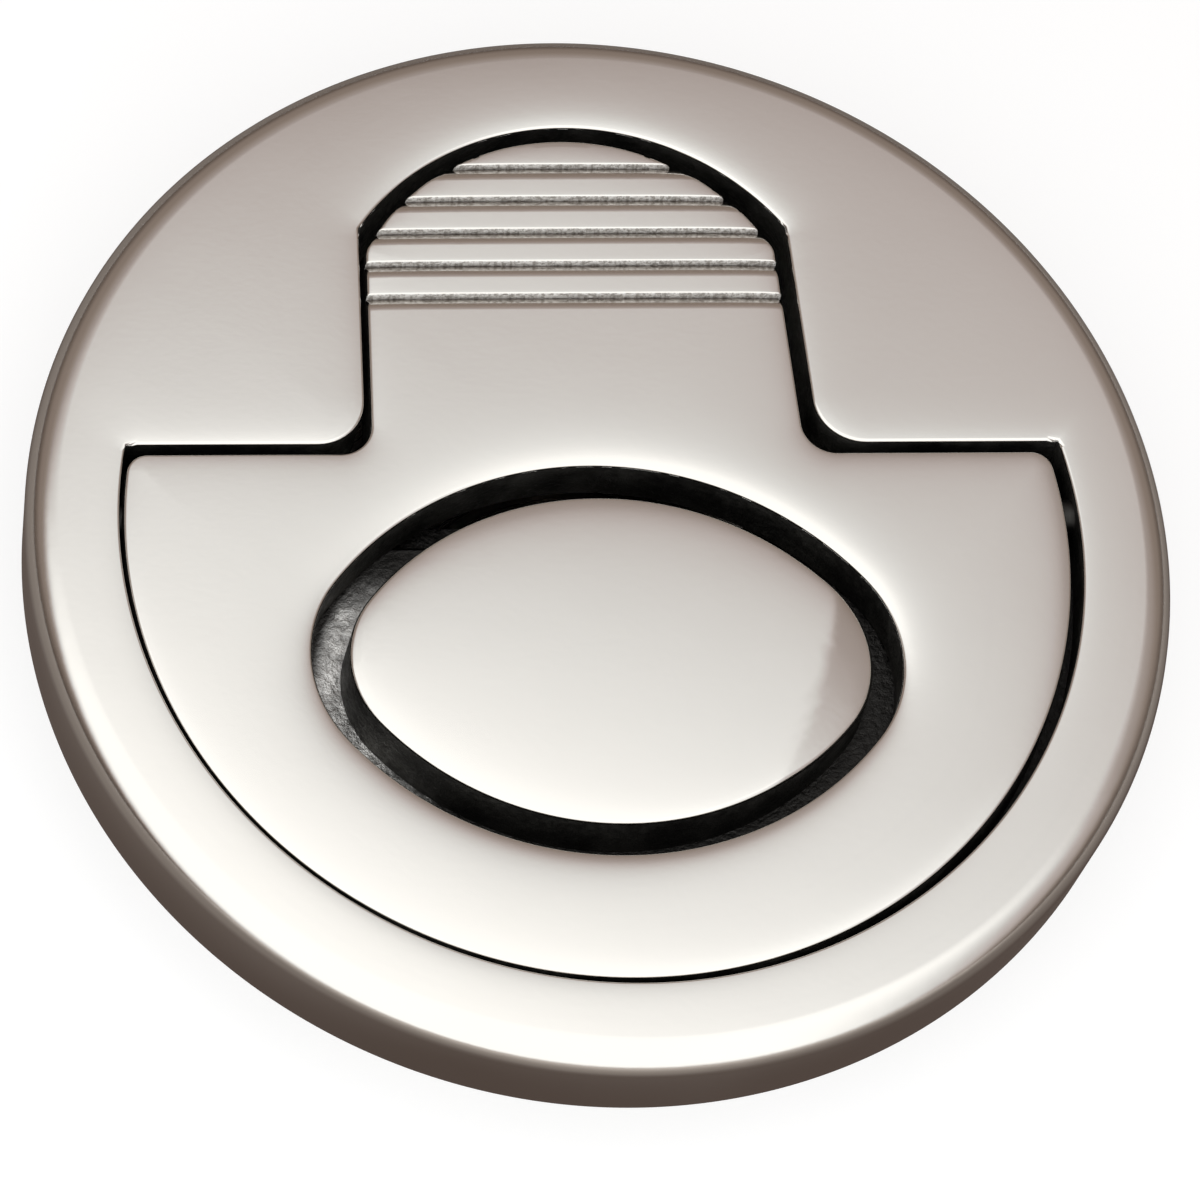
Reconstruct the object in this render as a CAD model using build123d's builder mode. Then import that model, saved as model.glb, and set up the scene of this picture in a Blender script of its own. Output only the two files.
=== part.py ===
from build123d import *

import os
from math import cos, hypot, radians, sin, sqrt

os.makedirs("parts", exist_ok=True)

# Recessed pull handle: a round cast plate let into a door, lid or hatch. Pressing the ribbed thumb
# tab tips the D-shaped ring about two stub pins, and a finger goes through the ring's oval hole.
#
# Millimetres. The origin is on the plate's axis, in the plane of its flat back, which seats on the
# panel. +Z points out of the panel, +Y towards the thumb tab, and X runs along the pivot pins.

# ---- Pocket in the plate: a D with a way for the thumb tab above its straight edge
pocket_radius = 25.65
pocket_depth = 3.7
shoulder_y = 6.1
shoulder_corner_radius = 2.7
tab_way_half_width = 12.12
tab_way_taper = 0.054
tab_way_tip_y = 24.7
tab_way_arch_radius = 13.95
pocket_edge_round = 0.4

# ---- Face plate
rim_width = 4.85
plate_thickness = 6.5
rim_round = 1.4
back_edge_chamfer = 0.3
trough_depth = 5.2
trough_lead = 0.8
tab_opening_start_y = 3.6

# ---- Oval hole of the ring, filled by the plate's island
oval_centre_y = -6.6
oval_half_length = 15.75
oval_half_height = 11.43
oval_end_radius = 7.46
oval_gap = 1.77
island_edge_round = 0.5

# ---- Pull ring, with its gaps to the pocket
arc_gap = 0.48
arc_drop = 0.15
shoulder_gap = 0.58
tab_side_gap = 0.55
tab_tip_gap = 0.96
ring_side_shift = -0.15
ring_shoulder_round = 1.2
ring_neck_radius = 1.8
ring_edge_round = 0.5
ring_back_chamfer = 0.25
tab_tip_thickness = 2.0
tab_taper_start = 0.4

# ---- Thumb grooves across the tab, counted from its root
groove_count = 5
first_groove_y = 14.0
groove_pitch = 1.93
groove_depth = 0.65
groove_width = 0.95

# ---- Pivot
pivot_y = 2.4
pivot_depth = 1.75
pin_radius = 0.9
pin_length = 11.9
pin_lead_chamfer = 0.2
pin_running_clearance = 0.05
pin_end_gap = 0.5

# ---- Rear cup behind the plate, which the tab swings into
cup_depth = 6.8
cup_wall = 1.3
cup_floor = 1.5
cup_tip_margin = 0.3
cup_edge_chamfer = 0.5
seat_relief_width = 0.6
seat_relief_undercut = 0.4
seat_relief_depth = 0.3

# ---- Cup screws and the posts that take them
post_count = 3
post_radius = 2.6
post_wall_gap = 1.0
cup_screw_radius = 1.25
cup_screw_head_radius = 2.35
cup_screw_length = 6.0
cup_screw_clearance = 0.15
cup_screw_bottom_gap = 0.7
drive_slot_width = 0.7
drive_slot_length = 2.9
drive_slot_depth = 0.6

# ---- Bosses tapped for the two screws that come through the panel
fixing_spacing = 38.8
fixing_y = -5.0
fixing_boss_radius = 3.6
fixing_hole_radius = 1.65
fixing_hole_depth = 6.5
fixing_cup_hole_radius = 2.25

# ---- Return spring under the tab
spring_y = 11.0
spring_outer_radius = 2.2
spring_wire_radius = 0.22
spring_pitch = 1.5
spring_seat_cover = 2.2
spring_seat_clearance = 0.4
spring_peg_radius = 1.3
spring_peg_height = 1.5

# ---- Heights and radii that follow
plate_radius = pocket_radius + rim_width
pocket_floor_z = plate_thickness - pocket_depth
trough_floor_z = plate_thickness - trough_depth
pivot_z = plate_thickness - pivot_depth
cup_inner_radius = tab_way_tip_y + cup_tip_margin
cup_radius = cup_inner_radius + cup_wall
cup_floor_z = cup_floor - cup_depth
post_circle_radius = cup_inner_radius - post_wall_gap - post_radius
tab_way_arch_y = tab_way_tip_y - tab_way_arch_radius

ring_radius = pocket_radius - arc_gap
ring_shoulder_y = shoulder_y - shoulder_gap
ring_tip_y = tab_way_tip_y - tab_tip_gap
ring_plane = Plane((ring_side_shift, 0, pocket_floor_z))
spring_seat_z = plate_thickness - spring_seat_cover

fixing_places = [(-fixing_spacing / 2, fixing_y), (fixing_spacing / 2, fixing_y)]
post_angles = [-90 + 360 / post_count * i for i in range(post_count)]
post_places = [
    (post_circle_radius * cos(radians(a)), post_circle_radius * sin(radians(a)))
    for a in post_angles
]


def tab_way_side(y):
    """Half the width of the tab's way at height y: its sides close in towards the tip."""
    return tab_way_half_width - tab_way_taper * (y - shoulder_y)


def pocket_outline():
    """The whole pocket: the D below its shoulders, and the tab's way, closed by its arch."""
    rise = shoulder_y - tab_way_arch_y
    a = 1 + tab_way_taper**2
    b = rise - tab_way_taper * tab_way_half_width
    c = tab_way_half_width**2 + rise**2 - tab_way_arch_radius**2
    corner_y = shoulder_y + (sqrt(b**2 - a * c) - b) / a
    corner_x = tab_way_side(corner_y)
    end_x = sqrt(pocket_radius**2 - shoulder_y**2)
    root_x = tab_way_half_width
    with BuildSketch() as outline:
        with BuildLine():
            ThreePointArc((-end_x, shoulder_y), (0, -pocket_radius), (end_x, shoulder_y))
            Polyline((end_x, shoulder_y), (root_x, shoulder_y), (corner_x, corner_y))
            ThreePointArc((corner_x, corner_y), (0, tab_way_tip_y), (-corner_x, corner_y))
            Polyline((-corner_x, corner_y), (-root_x, shoulder_y), (-end_x, shoulder_y))
        make_face()
        corners = [v for v in outline.vertices() if abs(abs(v.X) - root_x) < 1e-6]
        fillet(corners, shoulder_corner_radius)
    return outline.sketch


def ring_outline():
    """The ring without its hole: the D, the neck, and a tab whose tip runs into its sides."""
    centre_y = -arc_drop
    end_x = sqrt(ring_radius**2 - (ring_shoulder_y - centre_y) ** 2)
    root_x = tab_way_side(ring_shoulder_y) - tab_side_gap
    slope = hypot(1, tab_way_taper)
    tip_radius = (tab_way_side(ring_tip_y) - tab_side_gap) / (slope - tab_way_taper)
    joint_x = tip_radius / slope
    joint_y = ring_tip_y - tip_radius + joint_x * tab_way_taper
    with BuildSketch() as outline:
        with BuildLine():
            ThreePointArc(
                (-end_x, ring_shoulder_y),
                (0, centre_y - ring_radius),
                (end_x, ring_shoulder_y),
            )
            Polyline((end_x, ring_shoulder_y), (root_x, ring_shoulder_y), (joint_x, joint_y))
            ThreePointArc((joint_x, joint_y), (0, ring_tip_y), (-joint_x, joint_y))
            Polyline((-joint_x, joint_y), (-root_x, ring_shoulder_y), (-end_x, ring_shoulder_y))
        make_face()
        neck = [v for v in outline.vertices() if abs(abs(v.X) - root_x) < 1e-6]
        fillet(neck, ring_neck_radius)
        ends = [v for v in outline.vertices() if abs(abs(v.X) - end_x) < 1e-6]
        fillet(ends, ring_shoulder_round)
    return outline.sketch


def oval(half_length, half_height, end_radius):
    """A four-arc oval about the oval's centre."""
    run = half_length - end_radius
    side_radius = (run**2 + half_height**2 - end_radius**2) / (2 * (half_height - end_radius))
    share = side_radius / (side_radius - end_radius)
    joint_x = run * share
    joint_y = (half_height - side_radius) * (1 - share)
    with BuildSketch() as outline:
        with BuildLine(Plane((0, oval_centre_y, 0))):
            ThreePointArc((-joint_x, joint_y), (0, half_height), (joint_x, joint_y))
            ThreePointArc((joint_x, joint_y), (half_length, 0), (joint_x, -joint_y))
            ThreePointArc((joint_x, -joint_y), (0, -half_height), (-joint_x, -joint_y))
            ThreePointArc((-joint_x, -joint_y), (-half_length, 0), (-joint_x, joint_y))
        make_face()
    return outline.sketch


def plate_profile():
    """The plate's turned outside, with its rounded front edge, as a profile to revolve."""
    with BuildSketch(Plane.XZ) as profile:
        with BuildLine():
            Polyline(
                (0, 0),
                (plate_radius - back_edge_chamfer, 0),
                (plate_radius, back_edge_chamfer),
                (plate_radius, plate_thickness - rim_round),
            )
            RadiusArc(
                (plate_radius, plate_thickness - rim_round),
                (plate_radius - rim_round, plate_thickness),
                -rim_round,
            )
            Polyline((plate_radius - rim_round, plate_thickness), (0, plate_thickness), (0, 0))
        make_face()
    return profile.sketch


pocket = pocket_outline()

# The island's outline is the ring's hole, less the gap all round.
ring_hole = oval(oval_half_length, oval_half_height, oval_end_radius)
island = oval(
    oval_half_length - oval_gap,
    oval_half_height - oval_gap,
    oval_end_radius - oval_gap,
)

# Face plate: one casting with the pocket, the island, the opening for the tab, and on its back a
# relief groove round the cup's foot, the posts and the bosses.
with BuildPart() as face_plate:
    revolve(plate_profile(), axis=Axis.Z)

    with BuildSketch(Plane.XY.offset(pocket_floor_z)):
        add(pocket)
        add(island, mode=Mode.SUBTRACT)
    extrude(amount=pocket_depth, mode=Mode.SUBTRACT)

    # The floor is lower from just before the pivot line, where the ring's shoulders swing down.
    with BuildSketch(Plane.XY.offset(trough_floor_z)):
        Circle(pocket_radius)
        with Locations((0, shoulder_y)):
            Rectangle(
                2 * pocket_radius,
                shoulder_y - pivot_y + trough_lead,
                align=(Align.CENTER, Align.MAX),
                mode=Mode.INTERSECT,
            )
        add(island, mode=Mode.SUBTRACT)
    extrude(amount=pocket_floor_z - trough_floor_z, mode=Mode.SUBTRACT)

    # Opening through the plate for the tab, as wide at its root as the rounded shoulder corners.
    with BuildSketch():
        add(pocket)
        with Locations((0, tab_opening_start_y)):
            Rectangle(
                2 * (tab_way_half_width + shoulder_corner_radius),
                tab_way_tip_y,
                align=(Align.CENTER, Align.MIN),
                mode=Mode.INTERSECT,
            )
    extrude(amount=pocket_floor_z, mode=Mode.SUBTRACT)

    # Softly rounded front edges of the pocket and the island.
    front_faces = face_plate.faces().filter_by(Axis.Z).group_by(Axis.Z)[-1].sort_by(SortBy.AREA)
    fillet(front_faces[-1].inner_wires()[0].edges(), pocket_edge_round)
    front_faces = face_plate.faces().filter_by(Axis.Z).group_by(Axis.Z)[-1].sort_by(SortBy.AREA)
    fillet(front_faces[0].outer_wire().edges(), island_edge_round)

    # Holes for the two pins, drilled from the rim into the pocket.
    for side_plane in (Plane.YZ, -Plane.YZ):
        with BuildSketch(side_plane.offset(pocket_radius / 2)):
            with Locations(side_plane.to_local_coords(Vector(0, pivot_y, pivot_z))):
                Circle(pin_radius)
        extrude(amount=plate_radius, mode=Mode.SUBTRACT)

    # Relief groove round the cup's foot, so that the edge of the panel's bore stays clear.
    with BuildSketch(Plane.XY):
        Circle(cup_radius + seat_relief_width)
        Circle(cup_radius - seat_relief_undercut, mode=Mode.SUBTRACT)
    extrude(amount=seat_relief_depth, mode=Mode.SUBTRACT)

    # Posts and bosses that stand on the back, down to the cup's floor, and their tapped holes.
    with BuildSketch(Plane.XY.offset(cup_floor_z)):
        with Locations(*post_places):
            Circle(post_radius)
        with Locations(*fixing_places):
            Circle(fixing_boss_radius)
    extrude(amount=-cup_floor_z)
    with BuildSketch(Plane.XY.offset(cup_floor_z)):
        with Locations(*post_places):
            Circle(cup_screw_radius)
    extrude(
        amount=cup_screw_length - cup_floor + cup_screw_bottom_gap,
        mode=Mode.SUBTRACT,
    )
    with BuildSketch(Plane.XY.offset(cup_floor_z)):
        with Locations(*fixing_places):
            Circle(fixing_hole_radius)
    extrude(amount=fixing_hole_depth, mode=Mode.SUBTRACT)

face_plate.part.label = "face_plate"
export_step(face_plate.part, "parts/face_plate.step")

# Pull ring: one casting. The D and its oval hole lie flush in the pocket, and the tab behind the
# pivot is ribbed for the thumb and thinned below, so that it can swing down into the cup.
with BuildPart() as pull_ring:
    with BuildSketch(ring_plane):
        add(ring_outline())
        add(ring_hole, mode=Mode.SUBTRACT)
    extrude(amount=pocket_depth)
    fillet(pull_ring.edges().group_by(Axis.Z)[-1], ring_edge_round)
    chamfer(pull_ring.edges().group_by(Axis.Z)[0], ring_back_chamfer)

    # The tab's underside rises from its root to its tip.
    with BuildSketch(Plane.YZ):
        taper_start_y = shoulder_y + tab_taper_start
        beyond = ring_tip_y + tab_tip_gap
        rise = (pocket_depth - tab_tip_thickness) / (ring_tip_y - taper_start_y)
        Polygon(
            (taper_start_y, pocket_floor_z),
            (beyond, pocket_floor_z),
            (beyond, pocket_floor_z + rise * (beyond - taper_start_y)),
            align=None,
        )
    extrude(amount=tab_way_half_width, both=True, mode=Mode.SUBTRACT)

    # Thumb grooves: each has an upright wall towards the tip and a slope towards the root.
    with BuildSketch(Plane.YZ):
        for i in range(groove_count):
            wall_y = first_groove_y + i * groove_pitch + groove_width / 2
            Polygon(
                (wall_y, plate_thickness),
                (wall_y, plate_thickness - groove_depth),
                (wall_y - groove_width, plate_thickness),
                align=None,
            )
    extrude(amount=tab_way_half_width, both=True, mode=Mode.SUBTRACT)

    # Blind bores for the pins, and the seat of the return spring.
    for side_plane in (Plane.YZ, -Plane.YZ):
        with BuildSketch(side_plane.offset(plate_radius - pin_length - pin_end_gap)):
            with Locations(side_plane.to_local_coords(Vector(0, pivot_y, pivot_z))):
                Circle(pin_radius + pin_running_clearance)
        extrude(amount=plate_radius, mode=Mode.SUBTRACT)
    with BuildSketch(Plane.XY):
        with Locations((0, spring_y)):
            Circle(spring_outer_radius + spring_seat_clearance)
    extrude(amount=spring_seat_z, mode=Mode.SUBTRACT)

pull_ring.part.label = "pull_ring"
export_step(pull_ring.part, "parts/pull_ring.step")

# Pivot pins: pressed into the rim, running in the ring, and filed flush with the rim outside.
for side_plane, name in ((-Plane.YZ, "pivot_pin_left"), (Plane.YZ, "pivot_pin_right")):
    with BuildPart() as pivot_pin:
        with BuildSketch(side_plane.offset(plate_radius - pin_length)):
            with Locations(side_plane.to_local_coords(Vector(0, pivot_y, pivot_z))):
                Circle(pin_radius)
        extrude(amount=pin_length)
        inner_end = pivot_pin.edges().sort_by(lambda e: abs(e.center().X))[0]
        chamfer(inner_end, pin_lead_chamfer)
        revolve(plate_profile(), axis=Axis.Z, mode=Mode.INTERSECT)
    pivot_pin.part.label = name
    export_step(pivot_pin.part, f"parts/{name}.step")

# Rear cup: a turned cup that closes the back, with a peg that locates the spring.
rear_plane = Plane(origin=(0, 0, -cup_depth), x_dir=(1, 0, 0), z_dir=(0, 0, -1))
with BuildPart() as rear_cup:
    with BuildSketch(Plane.XY.offset(-cup_depth)):
        Circle(cup_radius)
    extrude(amount=cup_depth)
    chamfer(rear_cup.edges().group_by(Axis.Z)[0], cup_edge_chamfer)
    with BuildSketch(Plane.XY.offset(cup_floor_z)):
        Circle(cup_inner_radius)
    extrude(amount=-cup_floor_z, mode=Mode.SUBTRACT)
    with BuildSketch(Plane.XY.offset(cup_floor_z)):
        with Locations((0, spring_y)):
            Circle(spring_peg_radius)
    extrude(amount=spring_peg_height)
    with Locations(rear_plane):
        with Locations(*[(x, -y) for x, y in post_places]):
            CounterSinkHole(
                cup_screw_radius + cup_screw_clearance,
                cup_screw_head_radius + cup_screw_clearance,
                depth=cup_floor,
                counter_sink_angle=90,
            )
        with Locations(*[(x, -y) for x, y in fixing_places]):
            Hole(fixing_cup_hole_radius, depth=cup_floor)

rear_cup.part.label = "rear_cup"
export_step(rear_cup.part, "parts/rear_cup.step")

# Cup screws: countersunk, with a slot, through the cup's floor into the plate's posts.
for number, (x, y) in enumerate(post_places, start=1):
    with BuildPart() as cup_screw:
        with BuildSketch(Plane((x, y, 0), x_dir=(1, 0, 0), z_dir=(0, -1, 0))):
            with BuildLine():
                Polyline(
                    (0, -cup_depth),
                    (cup_screw_head_radius, -cup_depth),
                    (cup_screw_radius, -cup_depth + cup_screw_head_radius - cup_screw_radius),
                    (cup_screw_radius, cup_screw_length - cup_depth),
                    (0, cup_screw_length - cup_depth),
                    close=True,
                )
            make_face()
        revolve(axis=Axis((x, y, 0), (0, 0, 1)))
        with BuildSketch(Plane.XY.offset(-cup_depth)):
            with Locations((x, y)):
                Rectangle(drive_slot_length, drive_slot_width)
        extrude(amount=drive_slot_depth, mode=Mode.SUBTRACT)
    cup_screw.part.label = f"cup_screw_{number}"
    export_step(cup_screw.part, f"parts/cup_screw_{number}.step")

# Return spring: a compression spring round the cup's peg, which lifts the tab and so holds the ring
# down flush.
with BuildPart() as return_spring:
    coil_radius = spring_outer_radius - spring_wire_radius
    coil_bottom_z = cup_floor_z + spring_wire_radius
    coil_height = spring_seat_z - cup_floor_z - 2 * spring_wire_radius
    with BuildLine():
        coil = Helix(spring_pitch, coil_height, coil_radius, center=(0, spring_y, coil_bottom_z))
    with BuildSketch(Plane(coil @ 0, z_dir=coil % 0)):
        Circle(spring_wire_radius)
    sweep()

return_spring.part.label = "return_spring"
export_step(return_spring.part, "parts/return_spring.step")
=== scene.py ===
from math import asin, atan, atan2, ceil, cos, hypot, pi, radians, sin, sqrt

import bmesh
import bpy
import numpy as np
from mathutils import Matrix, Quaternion, Vector
from mathutils.geometry import delaunay_2d_cdt


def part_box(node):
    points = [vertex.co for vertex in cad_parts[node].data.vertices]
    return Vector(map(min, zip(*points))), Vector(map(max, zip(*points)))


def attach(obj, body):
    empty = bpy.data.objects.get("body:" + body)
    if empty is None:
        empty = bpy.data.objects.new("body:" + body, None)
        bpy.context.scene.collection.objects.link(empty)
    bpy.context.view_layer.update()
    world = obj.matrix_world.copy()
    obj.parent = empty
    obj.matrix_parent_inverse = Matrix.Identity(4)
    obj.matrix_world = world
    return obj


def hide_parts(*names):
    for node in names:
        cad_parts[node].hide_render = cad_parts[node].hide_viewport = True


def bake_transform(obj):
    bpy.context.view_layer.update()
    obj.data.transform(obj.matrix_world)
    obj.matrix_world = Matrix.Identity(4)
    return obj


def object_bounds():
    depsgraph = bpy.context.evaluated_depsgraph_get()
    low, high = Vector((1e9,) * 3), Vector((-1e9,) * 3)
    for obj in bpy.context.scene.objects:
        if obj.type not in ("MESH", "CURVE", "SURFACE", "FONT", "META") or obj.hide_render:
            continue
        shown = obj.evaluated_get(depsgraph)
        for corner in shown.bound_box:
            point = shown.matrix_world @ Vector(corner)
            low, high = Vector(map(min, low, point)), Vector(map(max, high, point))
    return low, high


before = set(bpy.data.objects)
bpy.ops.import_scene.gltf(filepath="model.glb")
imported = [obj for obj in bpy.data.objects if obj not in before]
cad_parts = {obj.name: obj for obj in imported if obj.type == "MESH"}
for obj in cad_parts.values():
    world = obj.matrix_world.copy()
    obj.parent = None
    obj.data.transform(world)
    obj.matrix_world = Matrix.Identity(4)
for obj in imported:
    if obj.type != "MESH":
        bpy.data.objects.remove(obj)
cad_low, cad_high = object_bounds()

# ---- Face plate
# One round brass casting, nickel plated and softly buffed on its face. The pocket for the ring, the
# oval island that fills the ring's hole, and the way for the thumb tab are cast in it, and its
# round edge is turned. All lengths here and below are in millimetres.
MM = 0.001
plate_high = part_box("face_plate")[1]
plate_radius = plate_high.x / MM
face_z = plate_high.z / MM
pocket_radius = 25.65
pocket_floor_z = face_z - 3.7
trough_floor_z = face_z - 5.2
trough_start_y, trough_ramp = 1.6, 0.9
shoulder_y = 6.1
shoulder_corner_radius = 2.7
way_half_width = 12.12
way_taper = 0.054
way_tip_y = 24.85
way_arch_radius = 13.95
opening_start_y = 3.6
opening_half_width = way_half_width + shoulder_corner_radius
rim_round = 1.6
pocket_round = 0.16
island_round = 0.22
oval_centre_y = -6.6
hole_half_length, hole_half_height, hole_end_radius = 15.75, 11.43, 7.46
oval_gap = 1.77
back_chamfer = 0.3
wall_draft = 0.5
# The pocket's walls have one more row of points at this height.
wall_row_z = 4.6
# Buffing wears the flat faces down towards every edge, in a broad band and a narrow one: how far
# each goes down at the edge, and how quickly it fades.
buffed_bands = ((0.09, 1.5), (0.05, 0.45))
polish_reach = 0.5
# The pocket's edge is worn more towards the tab's tip, and less towards the left.
pocket_wear_up = ((9, 17), (0.9, 1.5))
pocket_wear_across = ((-22, -10), (0.65, 1))
# The island is a little crowned, and rubbed down at its right end.
island_crown = 0.2
island_wear = ((0, 6), (1, 1.8))
worn_end_x, worn_end_slope, worn_end_blend = 11.45, 0.22, 0.12


def arc(centre, radius, start, end):
    """Points along an arc from one angle to another, without the last one."""
    count = max(3, ceil(abs(end - start) * radius / 0.45), ceil(abs(end - start) / radians(7)))
    angles = [start + (end - start) * i / count for i in range(count)]
    return [(centre[0] + radius * cos(a), centre[1] + radius * sin(a)) for a in angles]


def run(start, end, step=0.6):
    """Points along a straight run, without the last one."""
    (ax, ay), (bx, by) = start, end
    count = max(1, ceil(hypot(bx - ax, by - ay) / step))
    return [(ax + (bx - ax) * i / count, ay + (by - ay) * i / count) for i in range(count)]


def way_side(y):
    """Half the width of the tab's way at height y."""
    return way_half_width - way_taper * (y - shoulder_y)


def neck(root_x, shoulder, radius):
    """The round corner between a shoulder and the tab's side, on the right, going up the side."""
    slope = hypot(1, way_taper)
    x, y = root_x + radius * (slope - way_taper), shoulder + radius
    end = (x - radius / slope, y - radius * way_taper / slope)
    return arc((x, y), radius, 1.5 * pi, pi + atan(way_taper)) + [end]


def mirrored(points):
    """The same points on the other side of the Y axis, in the other order."""
    return [(-x, y) for x, y in reversed(points)]


def pocket_outline():
    """The pocket, anticlockwise from its right shoulder, and where its opening part begins."""
    end_x = sqrt(pocket_radius**2 - shoulder_y**2)
    corner = neck(way_half_width, shoulder_y, shoulder_corner_radius)
    arch_y = way_tip_y - way_arch_radius
    rise = shoulder_y - arch_y
    a, b = 1 + way_taper**2, rise - way_taper * way_half_width
    c = way_half_width**2 + rise**2 - way_arch_radius**2
    top_y = shoulder_y + (sqrt(b**2 - a * c) - b) / a
    top = (way_side(top_y), top_y)
    turn = atan2(top_y - arch_y, top[0])
    shoulder = run((end_x, shoulder_y), (opening_half_width, shoulder_y))
    way = run((opening_half_width, shoulder_y), corner[0]) + corner[:-1] + run(corner[-1], top)
    arch = arc((0, arch_y), way_arch_radius, turn, pi - turn)
    left_way = mirrored(way + [top])
    left_shoulder = mirrored(shoulder + [(opening_half_width, shoulder_y)])
    low = asin(shoulder_y / pocket_radius)
    bowl = arc((0, 0), pocket_radius, pi - low, 2 * pi + low)
    opening = way + arch + left_way
    return shoulder + opening + left_shoulder[1:-1] + bowl, opening, (shoulder, left_shoulder, bowl)


def oval(half_length, half_height, end_radius):
    """A four-arc oval about the oval's centre, anticlockwise."""
    reach = half_length - end_radius
    side = (reach**2 + half_height**2 - end_radius**2) / (2 * (half_height - end_radius))
    turn = atan2(side - half_height, reach)
    low, high = (0, oval_centre_y + side - half_height), (0, oval_centre_y + half_height - side)
    return (
        arc((reach, oval_centre_y), end_radius, -turn, turn)
        + arc(high, side, turn, pi - turn)
        + arc((-reach, oval_centre_y), end_radius, pi - turn, pi + turn)
        + arc(low, side, pi + turn, 2 * pi - turn)
    )


def inset(loop, distance):
    """A closed line moved to its left by a distance, with mitred corners."""
    points = np.asarray(loop, float)
    ahead = np.roll(points, -1, 0) - points
    ahead /= np.linalg.norm(ahead, axis=1)[:, None]
    left = np.stack([-ahead[:, 1], ahead[:, 0]], 1)
    both = left + np.roll(left, 1, 0)
    return points + distance * both / (0.5 * (both * both).sum(1))[:, None]


def distance_to(points, loop):
    """The distance from each point to a closed line."""
    a = np.asarray(loop, float)
    d = np.roll(a, -1, 0) - a
    found = np.empty(len(points))
    for i in range(0, len(points), 2000):
        p = points[i : i + 2000, None, :] - a[None]
        t = np.clip((p * d).sum(2) / (d * d).sum(1), 0, 1)
        found[i : i + 2000] = np.sqrt(((p - t[..., None] * d) ** 2).sum(2).min(1))
    return found


def inside(points, loops):
    """Whether each point lies in the shape that the closed lines bound."""
    found = np.zeros(len(points), int)
    for loop in loops:
        a = np.asarray(loop, float)
        b = np.roll(a, -1, 0)
        for i in range(0, len(points), 4000):
            p = points[i : i + 4000, None, :]
            spans = (a[:, 1] > p[..., 1]) != (b[:, 1] > p[..., 1])
            rise = np.where(b[:, 1] == a[:, 1], 1, b[:, 1] - a[:, 1])
            x = a[:, 0] + (p[..., 1] - a[:, 1]) / rise * (b[:, 0] - a[:, 0])
            found[i : i + 4000] += (spans & (p[..., 0] < x)).sum(1)
    return found % 2 == 1


def round_insets(radius):
    """How far in the lines lie that carry a rounded edge and the buffed band inside it."""
    turned = [radius * (1 - cos(a)) for a in np.linspace(0, pi / 2, 8)[1:]]
    return turned + [radius + d for d in (0.12, 0.26, 0.42, 0.62, 0.88, 1.2, 1.6, 2.1, 2.8, 3.7)]


def edge_drop(points, line, radius, wear=1.0):
    """How far the rounded and buffed edge along a line lies under the face."""
    distance = distance_to(points, line)
    left = np.clip(radius - distance, 0, radius)
    buffed = sum(drop * np.exp(-distance / reach) for drop, reach in buffed_bands)
    return radius - np.sqrt(radius**2 - left**2) + wear * buffed


def field(loops, insets, lattice=1.4, lines=()):
    """Triangles that fill a shape, closer together towards its edges and along given lines."""
    fixed, edges = [], []
    for loop in loops:
        first = len(fixed)
        fixed += [tuple(p) for p in loop]
        edges += [(first + i, first + (i + 1) % len(loop)) for i in range(len(loop))]
    for line in lines:
        first = len(fixed)
        fixed += [tuple(p) for p in line]
        edges += [(first + i, first + i + 1) for i in range(len(line) - 1)]
    loose = []
    for loop, depths in zip(loops, insets):
        for depth in depths:
            points = inset(loop, depth)
            near = np.min([distance_to(points, other) for other in loops], 0)
            loose.append(points[(near > depth - 0.01) & inside(points, loops)])
    low, high = np.min(loops[0], 0), np.max(loops[0], 0)
    grid = np.stack(np.meshgrid(*[np.arange(a, b, lattice) for a, b in zip(low, high)]), -1)
    grid = grid.reshape(-1, 2)
    grid = grid[inside(grid, loops)]
    far = max([max(depths) if depths else 0.3 for depths in insets])
    clear = np.min([distance_to(grid, loop) for loop in loops], 0) > far + lattice / 3
    loose.append(grid[clear])
    loose = np.concatenate(loose)
    for line in lines:
        a, b = np.array(line[0]), np.array(line[-1])
        if len(loose):
            along = (loose[:, 0] > a[0] - 0.05) & (loose[:, 0] < b[0] + 0.05)
            loose = loose[~(along & (abs(loose[:, 1] - a[1]) < 0.045))]
    every = fixed + [tuple(p) for p in loose]
    points, _, faces, *_ = delaunay_2d_cdt([Vector(p) for p in every], edges, [], 0, 1e-5)
    points = np.array([tuple(p) for p in points])
    faces = np.array(faces)
    one, two = points[faces[:, 1]] - points[faces[:, 0]], points[faces[:, 2]] - points[faces[:, 0]]
    flat = abs(one[:, 0] * two[:, 1] - one[:, 1] * two[:, 0]) < 1e-6
    on_edge = np.min([distance_to(points, loop) for loop in loops], 0) < 1e-6
    flat &= on_edge[faces].all(1)
    return points, faces[inside(points[faces].mean(1), loops) & ~flat]


def level(field_of, z):
    """A field as a patch at one height or at a height for each point."""
    points, faces = field_of
    heights = z(points) if callable(z) else np.full(len(points), z)
    return np.column_stack([points, heights]), [tuple(f) for f in faces]


def skin(rows, closed=True):
    """A band between rows of as many points, which goes right round or not."""
    count = len(rows[0])
    faces = []
    for r in range(len(rows) - 1):
        for i in range(count if closed else count - 1):
            j = (i + 1) % count
            faces.append((r * count + i, r * count + j, (r + 1) * count + j, (r + 1) * count + i))
    return np.concatenate(rows), faces


def row(points, z):
    """The points of a line at one height, or each at its own."""
    points = np.asarray(points, float)
    return np.column_stack([points, np.broadcast_to(z, len(points))])


def wall(line, *heights, closed=True):
    """A wall along a line, through rows at the given heights."""
    return skin([row(line, z) for z in heights], closed)


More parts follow.
